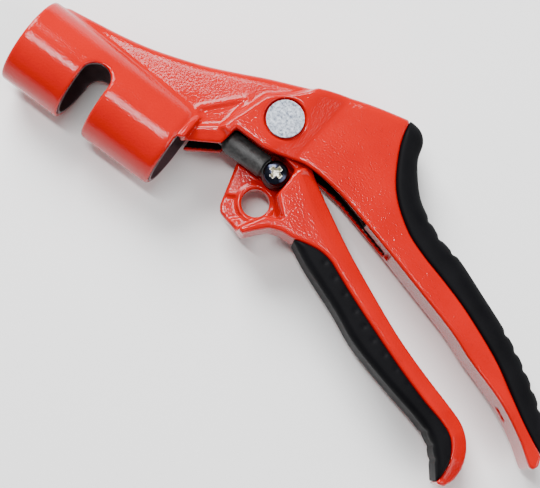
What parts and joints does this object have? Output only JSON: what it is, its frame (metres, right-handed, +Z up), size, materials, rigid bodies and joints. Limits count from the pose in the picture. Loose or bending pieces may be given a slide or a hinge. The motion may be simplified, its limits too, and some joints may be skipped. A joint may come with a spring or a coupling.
{
  "type": "anvil pruner",
  "caption": "Hand pruner whose squeezed lever draws a hooked blade through a notch in a tubular head onto a fixed anvil; black moulded grips and a lanyard hole.",
  "frame": {"origin": "middle of the tool's footprint, on the surface that the far side lies on", "axes": "+X along the head's bore from its tip towards the grips, +Y towards the upper handle, +Z up from the surface, along the pivot bolt towards its flat head"},
  "size_m": [0.205, 0.086, 0.0292],
  "materials": {
    "red_paint": "glossy powder coat with fine orange peel",
    "grip_rubber": "satin moulded elastomer",
    "steel_bright": "bright zinc plate",
    "steel_dark": "dull drawn steel",
    "steel_blue": "blued",
    "rod_black": "matte black, fine grain",
    "blade_steel": "ground",
    "brass": "satin",
    "plug_black": "matte"
  },
  "bodies": {
    "body": {"body_casting": "red_paint", "head_liner": "steel_dark", "end_plug": "plug_black", "anvil": "brass", "anvil_screws": "steel_bright", "upper_grip": "grip_rubber", "pivot_bolt": "steel_bright", "pivot_nut": "steel_bright", "washer_near": "brass", "washer_far": "brass", "spring_pin": "steel_bright", "torsion_spring": "steel_bright"},
    "lever": {"lever_casting": "red_paint", "lever_grip": "grip_rubber", "pivot_bush": "brass", "rod_screw": "steel_blue", "rod_sleeve": "steel_bright", "screw_nut": "steel_bright"},
    "draw_rod": {"draw_rod": "rod_black", "draw_tongue": "steel_dark", "tongue_pin": "steel_bright", "link_pin": "steel_bright"},
    "cutter": {"cutter_carriage": "steel_dark", "blade": "blade_steel", "blade_pins": "steel_bright"}
  },
  "joints": [
    {"name": "lever_pivot", "type": "hinge", "parent": "body", "child": "lever", "pos_m": [-0.0225, 0.019, 0.0146], "axis": [0, 0, -1], "range_deg": [0, 40], "deforming": ["torsion_spring"]},
    {"name": "rod_pivot", "type": "hinge", "parent": "lever", "child": "draw_rod", "pos_m": [-0.015, 0.0044, 0.0146], "axis": [0, 0, -1], "range_deg": [-40.5, 0]},
    {"name": "cutter_slide", "type": "slide", "parent": "body", "child": "cutter", "axis": [-1, 0, 0], "range_m": [0, 0.0114]}
  ],
  "couplings": [
    {"joint": "rod_pivot", "follows": "lever_pivot", "ratio": -1},
    {"joint": "cutter_slide", "follows": "lever_pivot", "m_per_rad": 0.016057}
  ]
}
